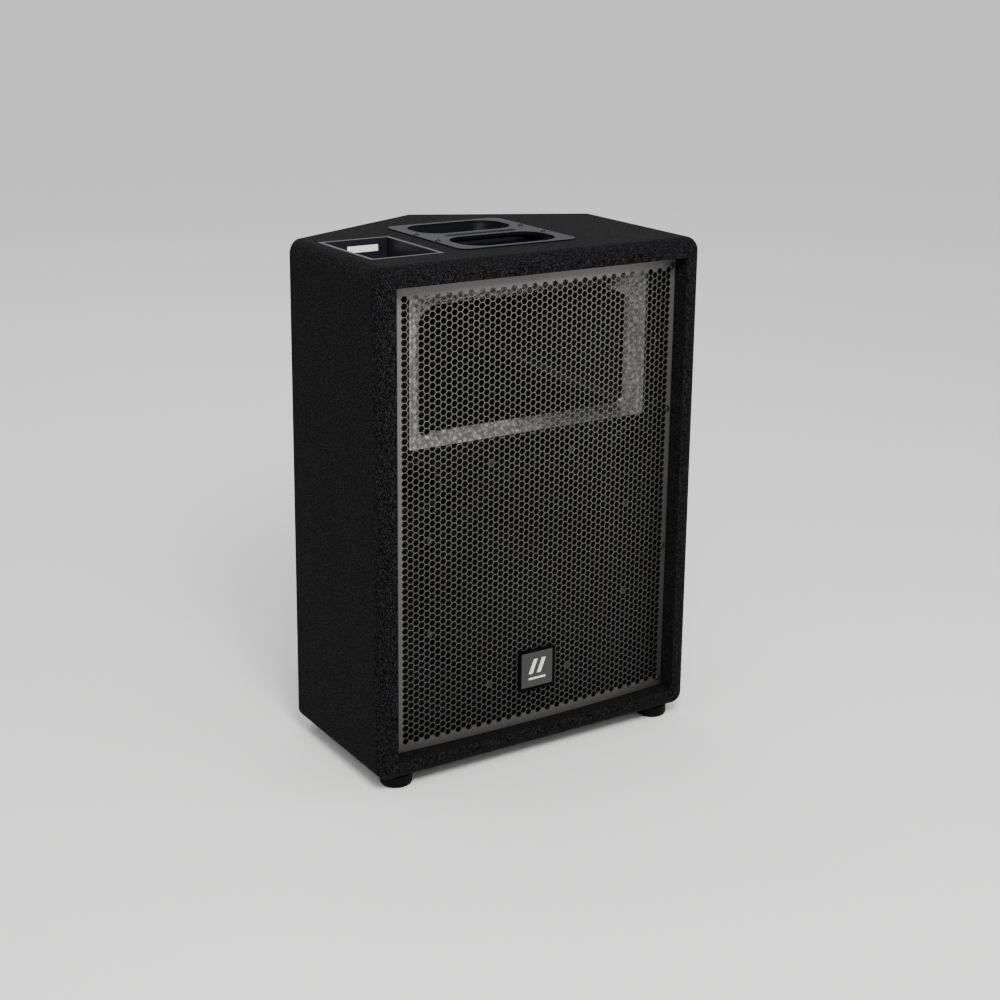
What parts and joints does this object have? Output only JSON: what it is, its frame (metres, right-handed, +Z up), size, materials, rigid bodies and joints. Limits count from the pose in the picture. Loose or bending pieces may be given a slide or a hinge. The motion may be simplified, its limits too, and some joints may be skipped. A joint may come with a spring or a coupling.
{
  "type": "stage monitor wedge",
  "caption": "Carpeted two-way stage monitor with five-sided plan, bowed perforated grille, recessed bar handle, connector dish and rubber feet.",
  "frame": {"origin": "centre of the bounding box in plan, on the floor under the feet", "axes": "X width, -Y the grille side, +Z up with the cabinet standing on its end"},
  "size_m": [0.438, 0.32, 0.6145],
  "materials": {
    "birch_ply": "matte birch plywood, painted black inside the grille recess",
    "carpet": "needle-punched black carpet",
    "black_plastic": "satin black moulding",
    "powder_coat": "semi-gloss dark grey powder coat",
    "badge_face": "satin grey",
    "black_screw": "black oxide",
    "dish_steel": "grey powder coat",
    "gasket_foam": "closed-cell foam",
    "contact_brass": "tinned brass",
    "label_white": "white vinyl",
    "board": "green laminate",
    "copper_coil": "enamelled copper",
    "capacitor": "yellow wrapped film",
    "ceramic": "cement",
    "rubber": "moulded rubber",
    "basket_steel": "black paint",
    "plated_steel": "zinc plated",
    "ferrite": "sintered ferrite",
    "doped_cloth": "doped cloth",
    "paper_cone": "felted paper",
    "coil_former": "glass fibre former with copper winding",
    "titanium": "formed titanium",
    "lead_jacket": "two-core jacket",
    "tinsel": "braided tinsel"
  },
  "bodies": {
    "cabinet": {"badge_frame": "black_plastic", "badge_plate": "badge_face", "baffle": "birch_ply", "blank_label": "label_white", "bottom_panel": "birch_ply", "carpet_bottom": "carpet", "carpet_top": "carpet", "carpet_wrap": "carpet", "connector_dish": "dish_steel", "crossover_board": "board", "crossover_capacitors": "capacitor", "crossover_inductors": "copper_coil", "crossover_resistors": "ceramic", "crossover_screws": "black_screw", "crossover_spacers": "black_plastic", "dish_gasket": "gasket_foam", "dish_screws": "black_screw", "driver_back_plate": "plated_steel", "driver_bolts": "black_screw", "driver_cover": "black_plastic", "driver_front_plate": "plated_steel", "driver_magnet": "ferrite", "driver_phase_plug": "black_plastic", "foot_screws": "black_screw", "grille": "powder_coat", "grille_battens": "birch_ply", "grille_screws": "black_screw", "handle": "black_plastic", "handle_screws": "black_screw", "horn": "black_plastic", "horn_lead": "lead_jacket", "horn_screws": "black_screw", "input_socket": "black_plastic", "left_port_tube": "black_plastic", "left_rear_panel": "birch_ply", "left_side_panel": "birch_ply", "link_socket": "black_plastic", "right_port_tube": "black_plastic", "right_rear_panel": "birch_ply", "right_side_panel": "birch_ply", "rubber_feet": "rubber", "socket_contacts": "contact_brass", "socket_leads": "lead_jacket", "socket_screws": "black_screw", "top_panel": "birch_ply", "woofer_back_plate": "plated_steel", "woofer_basket": "basket_steel", "woofer_bolts": "black_screw", "woofer_gasket": "gasket_foam", "woofer_lead": "lead_jacket", "woofer_magnet": "ferrite", "woofer_terminals": "black_plastic", "woofer_top_plate": "plated_steel"},
    "cone_assembly": {"woofer_cone": "paper_cone", "woofer_dust_cap": "paper_cone", "voice_coil": "coil_former", "woofer_surround": "doped_cloth", "woofer_spider": "doped_cloth", "tinsel_leads": "tinsel"},
    "diaphragm": {"driver_diaphragm": "titanium"}
  },
  "joints": [
    {"name": "cone_travel", "type": "slide", "parent": "cabinet", "child": "cone_assembly", "axis": [0, -1, 0], "range_m": [-0.006, 0.006], "stiffness_N_per_m": 4000, "deforming": ["woofer_surround", "woofer_spider", "tinsel_leads"]},
    {"name": "diaphragm_travel", "type": "slide", "parent": "cabinet", "child": "diaphragm", "axis": [0, -1, 0], "range_m": [-0.0003, 0.0003], "stiffness_N_per_m": 20000}
  ]
}
